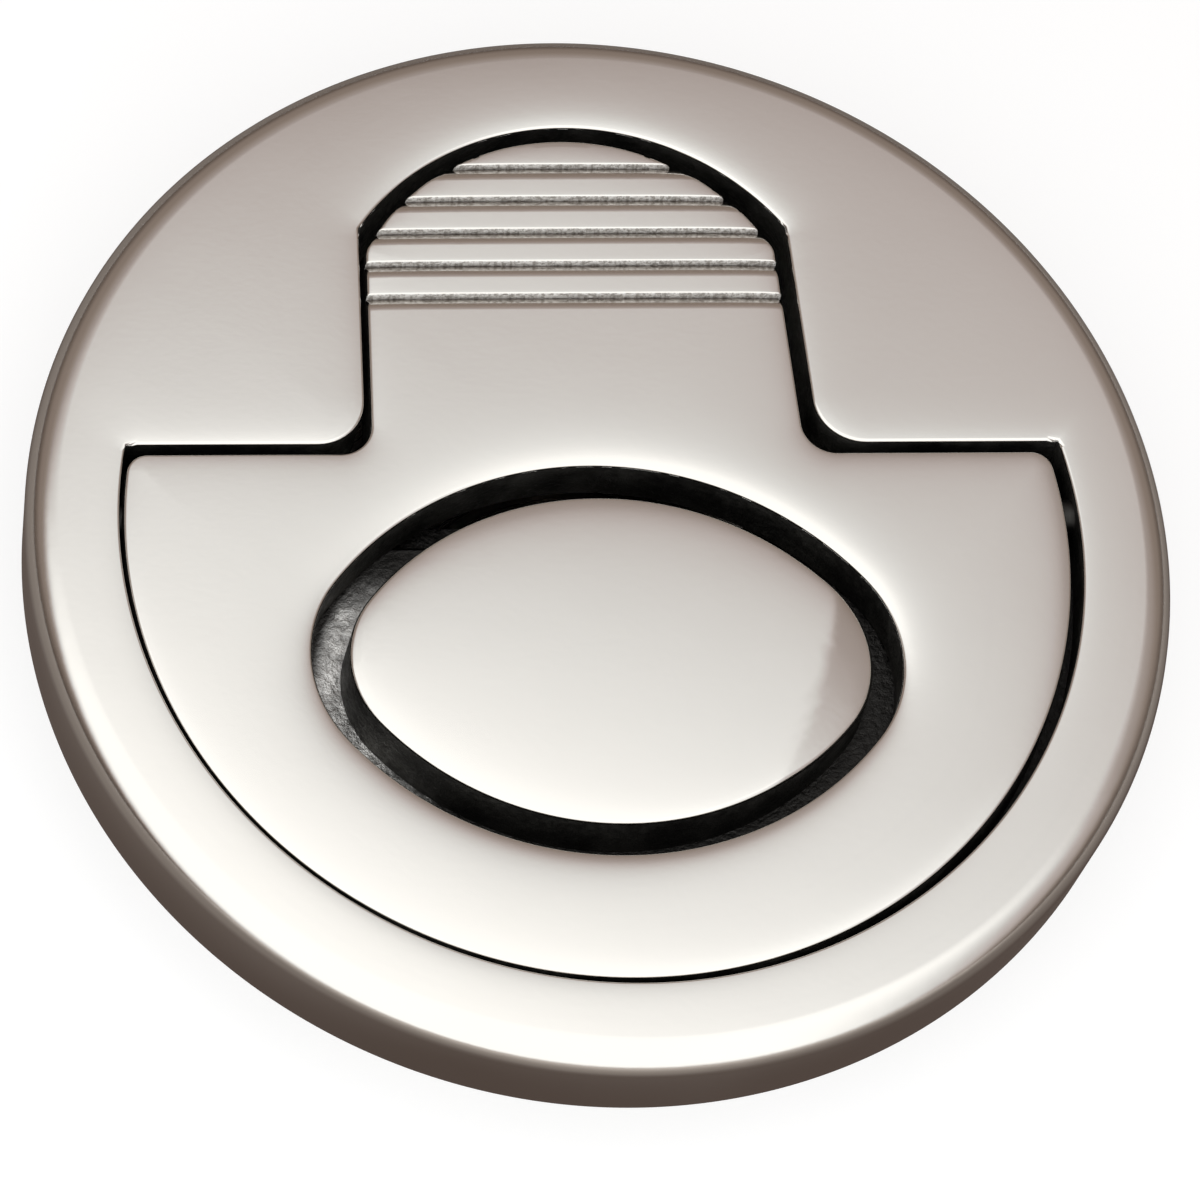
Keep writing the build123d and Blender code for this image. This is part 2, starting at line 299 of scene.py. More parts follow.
def turned(profile, count=360):
    """A patch turned about Z from radius and height pairs."""
    angles = np.arange(count) * 2 * pi / count
    round_line = np.column_stack([np.cos(angles), np.sin(angles)])
    return skin([row(r * round_line, z) for r, z in profile])


def placed(name, data):
    """A new object in the scene, at the origin."""
    made = bpy.data.objects.new(name, data)
    bpy.context.scene.collection.objects.link(made)
    return made


def welded(mesh, smooth_angle, near=1e-6, sliver=0.0):
    """Joins a mesh where its patches meet, faces it outward, and shades it smooth but for edges."""
    work = bmesh.new()
    work.from_mesh(mesh)
    bmesh.ops.remove_doubles(work, verts=work.verts, dist=near)
    if sliver:
        bmesh.ops.dissolve_degenerate(work, dist=sliver, edges=work.edges)
    bmesh.ops.recalc_face_normals(work, faces=work.faces)
    work.to_mesh(mesh)
    work.free()
    mesh.polygons.foreach_set("use_smooth", [True] * len(mesh.polygons))
    mesh.set_sharp_from_angle(angle=radians(smooth_angle))


def assembled(name, finishes, patches, smooth_angle=38):
    """One closed mesh from patches that meet edge to edge, each with the number of its finish."""
    points, faces, kinds, first = [], [], [], 0
    for kind, (patch_points, patch_faces) in patches:
        points.append(patch_points)
        faces += [tuple(first + i for i in face) for face in patch_faces]
        kinds += [kind] * len(patch_faces)
        first += len(patch_points)
    mesh = bpy.data.meshes.new(name)
    mesh.from_pydata((np.concatenate(points) * MM).tolist(), [], faces)
    mesh.polygons.foreach_set("material_index", kinds)
    for finish in finishes:
        mesh.materials.append(finish)
    welded(mesh, smooth_angle, near=2e-6, sliver=1e-7)
    return placed(name, mesh)


def with_levels(line, levels, closed=True):
    """A line with a point wherever it crosses one of the given heights, and none too near those."""
    made = []
    for i, (x, y) in enumerate(line):
        made.append((x, y, False))
        if i + 1 == len(line) and not closed:
            break
        x2, y2 = line[(i + 1) % len(line)]
        cuts = [(c - y) / (y2 - y) for c in levels if min(y, y2) < c < max(y, y2)]
        made += [(x + (x2 - x) * t, y + (y2 - y) * t, True) for t in sorted(cuts)]
    cuts = [(x, y) for x, y, cut in made if cut]
    return [
        (x, y) for x, y, cut in made if cut or all(hypot(x - a, y - b) > 0.02 for a, b in cuts)
    ]


def true_slopes(piece, finish, height):
    """Shades the faces of one finish by the exact slope of the surface that they follow."""
    mesh = piece.data
    places = np.array([v.co for v in mesh.vertices]) / MM
    corners = np.array([c.vertex_index for c in mesh.loops])
    starts = np.array([f.loop_start for f in mesh.polygons])
    totals = np.array([f.loop_total for f in mesh.polygons])
    chosen = np.repeat([f.material_index == finish for f in mesh.polygons], totals)
    middles = np.add.reduceat(places[corners], starts) / totals[:, None]
    toward, number = np.zeros_like(places), np.zeros(len(places))
    np.add.at(toward, corners[chosen], np.repeat(middles, totals, 0)[chosen])
    np.add.at(number, corners[chosen], 1)
    used = np.nonzero(number)[0]
    # Each slope is taken a hair inside the faces, because an edge has two.
    near = places[used] + 0.02 * (toward[used] / number[used, None] - places[used])
    here, step = near[:, :2], 1e-6
    z = height(here)
    lean = [(height(here + np.array(move)) - z) / step for move in ((step, 0), (0, step))]
    exact = np.zeros_like(places)
    exact[used] = np.column_stack([-lean[0], -lean[1], np.ones(len(used))])
    exact[used] /= np.linalg.norm(exact[used], axis=1)[:, None]
    normals = np.array([tuple(c.vector) for c in mesh.corner_normals])
    normals[chosen] = exact[corners[chosen]]
    mesh.normals_split_custom_set(normals.tolist())


def write(piece, name, values):
    """Writes a value on each point of a piece, for its finish to read."""
    piece.data.attributes.new(name, "FLOAT", "POINT").data.foreach_set("value", values)


def edge_wear(piece, edges):
    """Writes on each point of a face how near the buffed edge is: 1 at the edge, 0 well inside."""
    places = np.array([v.co for v in piece.data.vertices]) / MM
    near = np.min([distance_to(places[:, :2], edge) for edge in edges], 0)
    on_face = places[:, 2] > face_z - rim_round - 0.2
    write(piece, "edge_wear", np.exp(-near / polish_reach) * on_face)


class Nodes:
    """Nodes under construction. Sums take sockets or numbers and give the socket of the result."""

    def put(self, kind, inputs=(), **settings):
        """A node with its settings and inputs, and what comes out of it."""
        made = self.tree.nodes.new(kind)
        for key, value in settings.items():
            setattr(made, key, value)
        for key, value in dict(inputs).items():
            if isinstance(value, bpy.types.NodeSocket):
                self.tree.links.new(value, made.inputs[key])
            else:
                made.inputs[key].default_value = value
        return made.outputs

    def math(self, operation, a, b=0.0):
        return self.put("ShaderNodeMath", {0: a, 1: b}, operation=operation)[0]

    def plus(self, a, b):
        return self.math("ADD", a, b)

    def minus(self, a, b):
        return self.math("SUBTRACT", a, b)

    def times(self, a, b):
        return self.math("MULTIPLY", a, b)

    def over(self, a, b):
        return self.math("DIVIDE", a, b)

    def least(self, a, b):
        return self.math("MINIMUM", a, b)

    def most(self, a, b):
        return self.math("MAXIMUM", a, b)


class Finish(Nodes):
    """A material under construction: its nodes, links and shader."""

    def __init__(self, name, metal=1.0):
        self.material = bpy.data.materials.new(name)
        self.material.use_nodes = True
        self.tree = self.material.node_tree
        self.shader = self.tree.nodes["Principled BSDF"]
        self.shader.inputs["Metallic"].default_value = metal
        self.place = self.put("ShaderNodeTexCoord")["Object"]

    def scaled(self, x, y, z):
        """The place on the piece, stretched by these shares."""
        return self.put("ShaderNodeMapping", {"Vector": self.place, "Scale": (x, y, z)})["Vector"]

    def axes(self):
        """How far each place lies along X, Y and Z."""
        return self.put("ShaderNodeSeparateXYZ", {0: self.place})

    def from_axis(self):
        """How far each place lies from the Z axis."""
        return self.put("ShaderNodeVectorMath", {0: self.scaled(1, 1, 0)}, operation="LENGTH")[1]

    def written(self, name):
        """A value that was written on the piece's points."""
        return self.put("ShaderNodeAttribute", attribute_name=name)["Fac"]

    def noise(self, scale, detail=2.0, rough=0.5, place=None):
        inputs = {"Vector": place or self.place, "Scale": scale, "Detail": detail}
        return self.put("ShaderNodeTexNoise", {**inputs, "Roughness": rough})["Fac"]

    def spread(self, value, low, high, out_low, out_high, **settings):
        """A value's range turned into another range, and held inside it."""
        ends = {"From Min": low, "From Max": high, "To Min": out_low, "To Max": out_high}
        return self.put("ShaderNodeMapRange", {"Value": value, **ends}, **settings)["Result"]

    def smooth(self, *value_and_ends):
        """As spread, but easing in and out."""
        return self.spread(*value_and_ends, interpolation_type="SMOOTHSTEP")

    def between(self, value, low, high):
        """A colour between two colours."""
        low, high = [(*c, 1) if isinstance(c, tuple) else c for c in (low, high)]
        return self.put("ShaderNodeMix", {"Factor": value, 6: low, 7: high}, data_type="RGBA")[2]

    def mottled(self, value, dark, light, low=0.35, high=0.65):
        """A colour that goes from dark to light as a noise goes from low to high."""
        return self.between(self.spread(value, low, high, 0, 1), dark, light)

    def rough(self, value, at_low, at_high):
        """A roughness that follows a noise."""
        return self.spread(value, 0.3, 0.7, at_low, at_high)

    def shade(self, name, source):
        """Gives one of the shader's values a source."""
        self.tree.links.new(source, self.shader.inputs[name])

    def finished(self, colour, roughness, *bumps):
        """The material. Its bumps lie over one another, each a height and a depth in metres."""
        self.shade("Base Color", colour)
        self.shade("Roughness", roughness)
        under = {}
        for height, depth in bumps:
            inputs = {"Height": height, "Distance": depth, "Strength": 1.0}
            under = {"Normal": self.put("ShaderNodeBump", {**inputs, **under})["Normal"]}
        self.shade("Normal", under["Normal"])
        return self.material

    def glowing(self, colour, strength=1.0):
        """The material, where it only gives off light."""
        light = self.put("ShaderNodeEmission", {"Color": colour, "Strength": strength})[0]
        self.tree.links.new(light, self.tree.nodes["Material Output"].inputs["Surface"])
        return self.material


def nickel_on_the_face():
    """Satin nickel over cast brass, buffed: faint mottling, and a brighter polish on the edges."""
    made = Finish("buffed_nickel")
    broad = made.noise(45, 3)
    clean = made.mottled(broad, (0.715, 0.685, 0.645), (0.735, 0.705, 0.665))
    polish = made.spread(made.written("edge_wear"), 0.2, 1, 0, 0.05)
    # The colour darkens to a painted shade towards the foot of each thumb rib's groove.
    return made.finished(
        made.between(made.written("painted_groove_shade"), clean, (0.18, 0.145, 0.12)),
        made.minus(made.rough(broad, 0.17, 0.22), polish),
        (made.noise(2600, 2, 0.6), 2e-6),
        (made.noise(300, 1), 4e-6),
    )


def rough_casting():
    """The casting as it came from the sand, in the pocket, on its walls and on the back."""
    made = Finish("as_cast")
    grain = made.noise(2400, 4, 0.65)
    colour = made.mottled(made.noise(400, 2), (0.042, 0.040, 0.037), (0.115, 0.11, 0.10))
    return made.finished(colour, made.rough(grain, 0.4, 0.65), (grain, 9e-5))


def pocket_floor():
    """The pocket's floor: dark with painted shade, but bright and glittering with painted light at
    its left end.
    """
    made = Finish("cast_floor")
    grain = made.noise(2600, 4, 0.65)
    x, y, _ = made.axes()
    beside, below = made.smooth(x, -0.0135, -0.0085, 1, 0), made.smooth(y, -0.0035, 0.0010, 1, 0)
    painted_light_patch = made.times(beside, below)
    # The painted light stops short of the edge of the ring's hole, seen as a share of the way out
    # to it, so that painted shade lies along that edge.
    across = made.over(x, hole_half_length * MM)
    along = made.over(made.minus(y, oval_centre_y * MM), hole_half_height * MM)
    out = made.plus(made.times(across, across), made.times(along, along))
    painted_light_patch = made.times(painted_light_patch, made.smooth(out, 0.90, 0.98, 1, 0))
    clean = made.times(made.spread(made.noise(1300, 2), 0.4, 0.65, 0.45, 1), painted_light_patch)
    # Nearly black where the painted shade lies, and pale metal where the painted light falls.
    colour = made.between(clean, (0.04, 0.038, 0.036), (0.92, 0.90, 0.87))
    return made.finished(colour, made.rough(grain, 0.28, 0.5), (grain, 1.1e-4))


def turned_rings():
    """Nickel on a turned side: fine lines round the axis."""
    made = Finish("turned_nickel")
    lines = made.noise(1, 2, 0.6, made.scaled(60, 60, 14000))
    broad = made.noise(60, 2)
    colour = made.mottled(broad, (0.70, 0.665, 0.62), (0.725, 0.695, 0.655), 0.3, 0.7)
    return made.finished(colour, made.rough(broad, 0.2, 0.27), (lines, 3e-6))


def machined_walls():
    """The upright walls that the cutter left between the thumb ribs: bright, torn and sparkling."""
    made = Finish("machined_nickel", 0.2)
    torn = made.noise(1, 3, 0.7, made.scaled(4800, 4800, 3600))
    colour = made.mottled(torn, (0.42, 0.39, 0.36), (1.0, 0.98, 0.95), 0.4, 0.62)
    return made.finished(colour, made.rough(torn, 0.42, 0.22), (torn, 1.3e-4))


buffed_nickel, as_cast, cast_floor = nickel_on_the_face(), rough_casting(), pocket_floor()
turned_nickel, machined_nickel = turned_rings(), machined_walls()

# The ramp down into the trough runs between these two heights.
step = (trough_start_y, trough_start_y + trough_ramp)
rim = np.array(arc((0, 0), plate_radius, 0, 2 * pi))
pocket, opening_side, (right_shoulder, left_shoulder, bowl) = pocket_outline()
pocket, bowl = with_levels(pocket, step), with_levels(bowl, step, closed=False)
island = with_levels(
    oval(hole_half_length - oval_gap, hole_half_height - oval_gap, hole_end_radius - oval_gap),
    step,
)


def plate_face_z(points):
    """The height of the plate's face."""
    x, y = points[:, 0], points[:, 1]
    wear = np.interp(y, *pocket_wear_up) * np.interp(x, *pocket_wear_across)
    return (
        face_z
        - edge_drop(points, rim, rim_round)
        - edge_drop(points, pocket, pocket_round, wear)
    )


def island_z(points):
    """The height of the island's crowned and worn face."""
    x, y = points[:, 0], points[:, 1] - oval_centre_y
    out = 0.5 * (x / hole_half_length) ** 2 + 1.2 * (y / hole_half_height) ** 2
    beyond = x - worn_end_x - 0.3 * y + 0.018 * y**2
    past = worn_end_blend * np.logaddexp(0, beyond / worn_end_blend)
    rubbed = edge_drop(points, island, island_round, np.interp(y, *island_wear))
    return face_z - rubbed - island_crown * out - worn_end_slope * past


def pocket_bottom_z(points):
    """The height of the pocket's floor, its ramp and the trough."""
    return np.interp(np.asarray(points)[:, 1], step, (pocket_floor_z, trough_floor_z))


def step_lines(outline):
    """The ramp's top and bottom edges, from the pocket's wall to the island on both sides."""
    lines = []
    for y in step:
        at = sorted(p[0] for p in outline + island if abs(p[1] - y) < 1e-6)
        lines += [run((a, y), (b, y), 0.8) + [(b, y)] for a, b in (at[:2], at[-2:])]
    return lines


# The casting's back: the seat, the groove round the cup's foot, three posts for the cup's screws
# and two tapped bosses for the screws that come through the panel.
cup_floor_z = -5.3
post_circle = 21.4
posts = [(post_circle * cos(a), post_circle * sin(a)) for a in (-pi / 2, pi / 6, 5 * pi / 6)]
bosses = [(-19.4, -5.0), (19.4, -5.0)]
# The radius of a post and of a boss, and the radius and the end of the hole up into it.
post_sizes, boss_sizes = (2.6, 1.25, -0.1), (3.6, 1.65, 1.2)
stands = [(p, *post_sizes) for p in posts] + [(p, *boss_sizes) for p in bosses]
groove_in, groove_out, groove_deep = 25.9, 26.9, 0.3
rim_count = len(rim)


def moved(patch, place):
    """A patch moved sideways to a place."""
    points, faces = patch
    return points + np.array([*place, 0]), faces


def circle(place, radius, number=48):
    """A closed round line, anticlockwise."""
    turns = [2 * pi * i / number for i in range(number)]
    return [(place[0] + radius * cos(a), place[1] + radius * sin(a)) for a in turns]


def filled(loops, z):
    """A flat patch inside the first line and outside the others, which run clockwise."""
    return level(field(loops, [[] for _ in loops], 3.0), z)


def stand(place, radius, bore, bore_z):
    """A post or a boss, with the hole up into it."""
    foot, mouth = (radius, cup_floor_z), (bore, cup_floor_z)
    return moved(turned([(radius, 0), foot, mouth, (bore, bore_z), (0, bore_z)], 48), place)


def pocket_wall(line, top_z, *lower, closed=False):
    """A wall down from a face along a line."""
    return wall(line, top_z(np.array(line)), wall_row_z, *lower, closed=closed)


edge_points = [(opening_half_width, opening_start_y), (-opening_half_width, opening_start_y)]
lip = (
    run((opening_half_width, shoulder_y), edge_points[0])
    + run(*edge_points)
    + run(edge_points[1], (-opening_half_width, shoulder_y))
    + [(-opening_half_width, shoulder_y)]
)
floor_outline = right_shoulder + lip[:-1] + left_shoulder[:-1] + bowl
opening = opening_side[:-1] + lip[::-1][:-1]
back_loops = [circle((0, 0), groove_in, rim_count), opening[::-1]]
back_loops += [circle(place, radius)[::-1] for place, radius, _, _ in stands]
bowl_walls = left_shoulder[:-1] + bowl + right_shoulder + [(opening_half_width, shoulder_y)]
plate_back_radius = plate_radius - wall_draft
rim_back = rim * plate_back_radius / plate_radius
plate_back = [
    (plate_back_radius, back_chamfer),
    (plate_back_radius - back_chamfer, 0),
    (groove_out, 0),
    (groove_out, groove_deep),
    (groove_in, groove_deep),
    (groove_in, 0),
]
face_insets = [round_insets(rim_round), round_insets(pocket_round)]
plate_face = field([rim, pocket[::-1]], face_insets)
island_face = field([island], [round_insets(island_round)], 0.5)
floor_face = field([floor_outline, island[::-1]], [[0.3], [0.3]], 1.2, step_lines(floor_outline))
BUFFED, CAST, TURNED, FLOOR = range(4)
plate = assembled(
    "face_plate_body",
    [buffed_nickel, as_cast, turned_nickel, cast_floor],
    [
        (BUFFED, level(plate_face, plate_face_z)),
        (BUFFED, level(island_face, island_z)),
        (TURNED, skin([row(rim, plate_face_z(rim)), row(rim_back, back_chamfer)])),
        (TURNED, turned(plate_back, rim_count)),
        (CAST, pocket_wall(bowl_walls, plate_face_z, pocket_bottom_z(bowl_walls))),
        (CAST, pocket_wall(opening_side, plate_face_z, trough_floor_z, 0)),
        (CAST, wall(lip, trough_floor_z, 0, closed=False)),
        (CAST, pocket_wall(island, island_z, pocket_bottom_z(island), closed=True)),
        (FLOOR, level(floor_face, pocket_bottom_z)),
        (CAST, filled(back_loops, 0)),
        *[(CAST, stand(*each)) for each in stands],
    ],
)
edge_wear(plate, [rim, pocket, island])
true_slopes(plate, BUFFED, lambda p: np.where(inside(p, [island]), island_z(p), plate_face_z(p)))
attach(plate, "base")
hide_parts("face_plate")

# ---- Pull ring
# One casting too: the D with its oval hole, and the ribbed thumb tab behind the pivot, thinned
# below so that it can swing down into the cup.
ring_side_shift = -0.22
ring_radius, ring_drop = 25.22, 0.15
ring_shoulder_y = 5.52
ring_tip_y, ring_tip_radius, ring_tip_corner = 24.05, 12.5, 1.2
ring_shoulder_round, ring_neck_radius = 1.2, 1.8
tab_side_gap = 0.55
ring_round = 0.16
ring_back_chamfer = 0.25
tab_taper_start_y, tab_tip_thickness = 6.5, 2.0
groove_walls = [14.925 + 1.93 * i for i in range(5)]
groove_depth, groove_width, groove_bend = 0.55, 0.95, 2.1
land_round, land_drop, land_reach, land_width, land_end = 0.09, 0.01, 0.15, 1.0, 1.2
land_rise = ((15, 23), (0.04, 0.075))
wall_lean = 0.04
# The rows of points along each groove: at and beyond its wall, and across its hollow as shares of
# its width.
wall_rows = (0.3, 0.16, land_round, 0.05, 0.02, 0, -wall_lean)
hollow_rows = (0.05, 0.12, 0.2, 0.3, 0.42, 0.56, 0.74, 1.0)
row_ends = (0.03, 0.08, 0.15, 0.24, 0.35, 0.5, 0.66, 0.86, 1.1, 1.4, 1.8)
# The edge of the finger's hole is handled most, and so it is worn the most, above all in front.
# The ring's outer edge is worn more at the right than at the left.
hole_wear = ((-14, -6), (2.7, 2.15))
side_wear = ((-18, 18), (0.7, 1.5))
# Painted shade darkens the plating this far out from the foot of each groove's wall. The walls
# are left as the cutter made them. All of them stand above this height.
painted_shade_reach = 0.5
machined_low_z = 4.5
# The seat for the spring, bored up into the tab's underside.
seat_radius, seat_z, seat_y = 2.6, 4.3, 11.0


def ring_outline():
    """The ring without its hole, anticlockwise from its right shoulder."""
    slope = hypot(1, way_taper)
    low_y = ring_shoulder_y - ring_shoulder_round
    end_x = sqrt((ring_radius - ring_shoulder_round) ** 2 - (low_y + ring_drop) ** 2)
    turn = atan2(low_y + ring_drop, end_x)
    corner = neck(way_side(ring_shoulder_y) - tab_side_gap, ring_shoulder_y, ring_neck_radius)
    # The rounded corner between the tab's side and its arched tip touches both.
    tip_y, reach = ring_tip_y - ring_tip_radius, ring_tip_radius - ring_tip_corner
    side_x = way_side(0) - tab_side_gap - ring_tip_corner * slope
    b = side_x * way_taper + tip_y
    corner_y = (b + sqrt(b**2 - slope**2 * (side_x**2 + tip_y**2 - reach**2))) / slope**2
    corner_x = side_x - way_taper * corner_y
    arch_turn = atan2(corner_y - tip_y, corner_x)
    below = (corner_x + ring_tip_corner / slope, corner_y + ring_tip_corner * way_taper / slope)
    joint = (ring_tip_radius * cos(arch_turn), tip_y + ring_tip_radius * sin(arch_turn))
    right = arc((end_x, low_y), ring_shoulder_round, turn, pi / 2)
    right += run((end_x, ring_shoulder_y), corner[0]) + corner[:-1] + run(corner[-1], below, 0.45)
    right += arc((corner_x, corner_y), ring_tip_corner, atan(way_taper), arch_turn)
    tip = arc((0, tip_y), ring_tip_radius, arch_turn, pi - arch_turn)
    bowl = arc((0, -ring_drop), ring_radius, pi - turn, 2 * pi + turn)
    return shifted(right + tip + mirrored(right + [joint])[:-1] + bowl)


def shifted(points):
    """Points moved to the side by as much as the ring lies off the middle."""
    return [(x + ring_side_shift, y) for x, y in points]


groove_rows = sorted(
    {round(w + d, 4) for w in groove_walls for d in wall_rows}
    | {round(w - wall_lean - groove_width * t, 4) for w in groove_walls for t in hollow_rows}
)
ring_line = with_levels(ring_outline(), groove_rows)
ring_hole = shifted(oval(hole_half_length, hole_half_height, hole_end_radius))


def groove_drop(y):
    """How far the tab's ribs lie under the face at height y."""
    drop = np.zeros(len(y))
    for w in groove_walls:
        above = y - w
        land = (above >= -1e-6) & (above < land_end)
        left = np.clip(land_round - above, 0, land_round)
        edge = land_round - np.sqrt(land_round**2 - left**2)
        edge = edge + land_drop * np.exp(-np.clip(above, 0, 9) / land_reach)
        edge = edge + np.interp(w, *land_rise) * np.clip(land_width - above, 0, land_width)
        drop = np.where(land, drop + edge, drop)
        along = np.clip(-(above + wall_lean) / groove_width, 0, 1)
        low = (above < -1e-6) & (above > -wall_lean - groove_width)
        drop = np.where(low, drop + groove_depth * (1 - along) ** groove_bend, drop)
    return drop


def ring_face_z(points):
    """The height of the ring's face, its worn edges and its thumb ribs."""
    points = np.asarray(points)
    return (
        face_z
        - edge_drop(points, ring_line, ring_round, np.interp(points[:, 0], *side_wear))
        - edge_drop(points, ring_hole, ring_round, np.interp(points[:, 1], *hole_wear))
        - groove_drop(points[:, 1])
    )


def ring_back_z(points):
    """The height of the ring's back, which rises under the tab towards its tip."""
    rise = (face_z - tab_tip_thickness - pocket_floor_z) / (ring_tip_y - tab_taper_start_y)
    return pocket_floor_z + rise * np.clip(np.asarray(points)[:, 1] - tab_taper_start_y, 0, None)


def groove_line(y):
    """A row of points across the tab, closer together at its rounded sides."""
    at = sorted(p[0] for p in ring_line if abs(p[1] - y) < 1e-6)
    left, right = at[0], at[-1]
    away = [abs(py - y) + abs(px - right) for px, py in ring_line]
    i = away.index(min(away))
    # Where the tab's side slants, its edge is wider along the row.
    lean = max(0.3, abs(inset(ring_line, 0.01)[i][0] - ring_line[i][0]) / 0.01)
    ends = [d / lean for d in row_ends if d / lean < (right - left) / 2 - 0.3]
    inner = np.arange(left + ends[-1] + 0.45, right - ends[-1] - 0.2, 0.5)
    xs = [left, *[left + d for d in ends], *inner, *[right - d for d in reversed(ends)], right]
    return [(x, y) for x in xs]


def foot_of_wall(y):
    """How near the foot of a groove's wall a place is: 1 at the foot, 0 outside the painted shade.
    """
    return max(
        np.clip(1 + (y - w + wall_lean) / painted_shade_reach, 0, 1) * (y < w) for w in groove_walls
    )


hole_line = ring_hole[::-1]
low_line, low_hole = inset(ring_line, ring_back_chamfer), inset(hole_line, ring_back_chamfer)
seat = circle((0, seat_y), seat_radius)
ring_face = field(
    [ring_line, hole_line],
    [round_insets(ring_round)] * 2,
    lines=[groove_line(y) for y in groove_rows],
)
ring_back = field([low_line, low_hole, seat[::-1]], [[0.5]] * 3, 1.5)
ring_side = [
    row(ring_line, ring_face_z(ring_line)),
    row(ring_line, ring_back_z(ring_line) + ring_back_chamfer),
    row(low_line, ring_back_z(low_line)),
]
hole_side = [
    row(hole_line, ring_face_z(hole_line)),
    row(hole_line, pocket_floor_z + ring_back_chamfer),
    row(low_hole, pocket_floor_z),
]
seat_side = [row(seat, ring_back_z(seat)), row(seat, seat_z), row(circle((0, seat_y), 0), seat_z)]
ring = assembled(
    "pull_ring_body",
    [buffed_nickel, as_cast, machined_nickel],
    [
        (BUFFED, level(ring_face, ring_face_z)),
        (CAST, skin(ring_side)),
        (CAST, skin(hole_side)),
        (CAST, level(ring_back, ring_back_z)),
        (CAST, skin(seat_side)),
    ],
)
MACHINED = 2
edge_wear(ring, [ring_line, ring_hole])
# Painted shade for the face's colour, strongest at the foot of each groove's wall.
write(ring, "painted_groove_shade", [foot_of_wall(v.co.y / MM) for v in ring.data.vertices])
for face in ring.data.polygons:
    y = face.center.y / MM
    on_wall = any(-wall_lean - 0.02 < y - w < 0.02 for w in groove_walls)
    if on_wall and face.normal.y < -0.6 and face.center.z > machined_low_z * MM:
        face.material_index = MACHINED
true_slopes(ring, BUFFED, ring_face_z)
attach(ring, "ring")
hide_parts("pull_ring")


# ---- Pivot pins
# Two ground steel stubs, chamfered at both ends, pressed into the rim from the sides and dressed
# off. The ring turns on their inner ends.
class Recipe(Nodes):
    """A node tree that makes a piece from named sizes, which are in metres."""

    def __init__(self, name, sizes):
        self.sizes = sizes
        self.tree = bpy.data.node_groups.new(name, "GeometryNodeTree")
        for size, value in sizes.items():
            kind = "NodeSocketInt" if isinstance(value, int) else "NodeSocketFloat"
            self.tree.interface.new_socket(size, in_out="INPUT", socket_type=kind)
        self.tree.interface.new_socket("Mesh", in_out="OUTPUT", socket_type="NodeSocketGeometry")
        self.given = self.tree.nodes.new("NodeGroupInput").outputs

    def shape(self, kind, inputs, **settings):
        """The shape that a geometry node makes."""
        return self.put("GeometryNode" + kind, inputs, **settings)[0]

    def place(self, x, y, z):
        return self.put("ShaderNodeCombineXYZ", {0: x, 1: y, 2: z})[0]

    def rod(self, start, end, steps, around, thickness):
        """A round rod between two places, as thick at each length along it as the rule says."""
        line = self.shape("CurvePrimitiveLine", {"Start": start, "End": end})
        line = self.shape("ResampleCurve", {"Curve": line, "Count": steps})
        along = self.put("GeometryNodeSplineParameter")["Length"]
        return self.swept(line, around, 1.0, Scale=thickness(along))

    def swept(self, line, around, radius, **more):
        """A round section taken along a line, with closed ends."""
        section = self.shape("CurvePrimitiveCircle", {"Resolution": around, "Radius": radius})
        inputs = {"Curve": line, "Profile Curve": section, "Fill Caps": True, **more}
        return self.shape("CurveToMesh", inputs)

    def piece(self, shape, finish, smooth_angle=38):
        """Runs the finished tree once, and keeps what it makes as a plain mesh."""
        shape = self.shape("RealizeInstances", {"Geometry": shape})
        shape = self.shape("SetMaterial", {"Geometry": shape, "Material": finish})
        self.tree.links.new(shape, self.tree.nodes.new("NodeGroupOutput").inputs[0])
        made = placed(self.tree.name, bpy.data.meshes.new("empty"))
        modifier = made.modifiers.new("recipe", "NODES")
        modifier.node_group = self.tree
        for item in self.tree.interface.items_tree:
            if item.in_out == "INPUT":
                modifier[item.identifier] = self.sizes[item.name]
        graph = bpy.context.evaluated_depsgraph_get()
        mesh = bpy.data.meshes.new_from_object(made.evaluated_get(graph), depsgraph=graph)
        made.modifiers.remove(modifier)
        made.data = mesh
        welded(mesh, smooth_angle)
        return made


def ground_steel():
    """Steel ground between centres: fine lines round the pin, and painted shade that makes it
    nearly black.
    """
    made = Finish("ground_steel")
    lines = made.noise(1, 3, 0.6, made.scaled(9000, 500, 500))
    # The colour is nearly black: painted shade where the pins sit in the dark gap at the ring's
    # pivots.
    colour = made.mottled(made.noise(500, 2), (0.04, 0.038, 0.036), (0.08, 0.076, 0.07))
    return made.finished(colour, made.rough(lines, 0.42, 0.56), (lines, 4e-6))


pin_low, pin_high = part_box("pivot_pin_right")
pin_middle = (pin_low + pin_high) / 2
pin_end_cover = 1.0 * MM
pins = Recipe(
    "pivot_pins",
    {
        "Radius": (pin_high.z - pin_low.z) / 2,
        "Inner End": pin_low.x,
        "Outer End": pin_high.x - pin_end_cover,
        "Chamfer": 0.2 * MM,
        "Across": pin_middle.y,
        "Height": pin_middle.z,
        "Steps": 53,
    },
)
pin_inner, pin_outer = pins.given["Inner End"], pins.given["Outer End"]
pin_length = pins.minus(pin_outer, pin_inner)
pin_half = pins.over(pin_length, 2.0)
pin_out = pins.plus(pin_inner, pin_half)


def pin_thickness(along):
    """The pin's radius, with a chamfer at both ends."""
    radius = pins.given["Radius"]
    to_end = pins.least(along, pins.minus(pin_length, along))
    return pins.least(pins.plus(pins.minus(radius, pins.given["Chamfer"]), to_end), radius)


